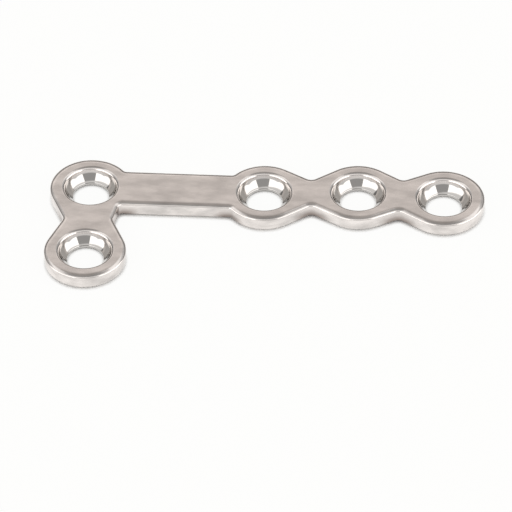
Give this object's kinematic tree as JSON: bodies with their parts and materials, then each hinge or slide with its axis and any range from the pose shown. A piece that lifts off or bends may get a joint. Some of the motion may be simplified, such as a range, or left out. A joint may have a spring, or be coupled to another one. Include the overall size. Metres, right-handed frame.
{
  "type": "bone plate",
  "caption": "Flat L-shaped steel mini plate with countersunk screw holes, for holding small bone fragments together.",
  "frame": {"origin": "on the bone side, in the middle of the blank bar between the corner hole and the inner shaft hole", "axes": "+X along the bar towards the end of the shaft, +Z out of the upper, countersunk face; the head points to -Y"},
  "size_m": [0.0279, 0.0114, 0.001],
  "materials": {
    "implant_steel": "fine satin polish"
  },
  "bodies": {
    "root": {"bone_plate": "implant_steel"}
  },
  "joints": []
}
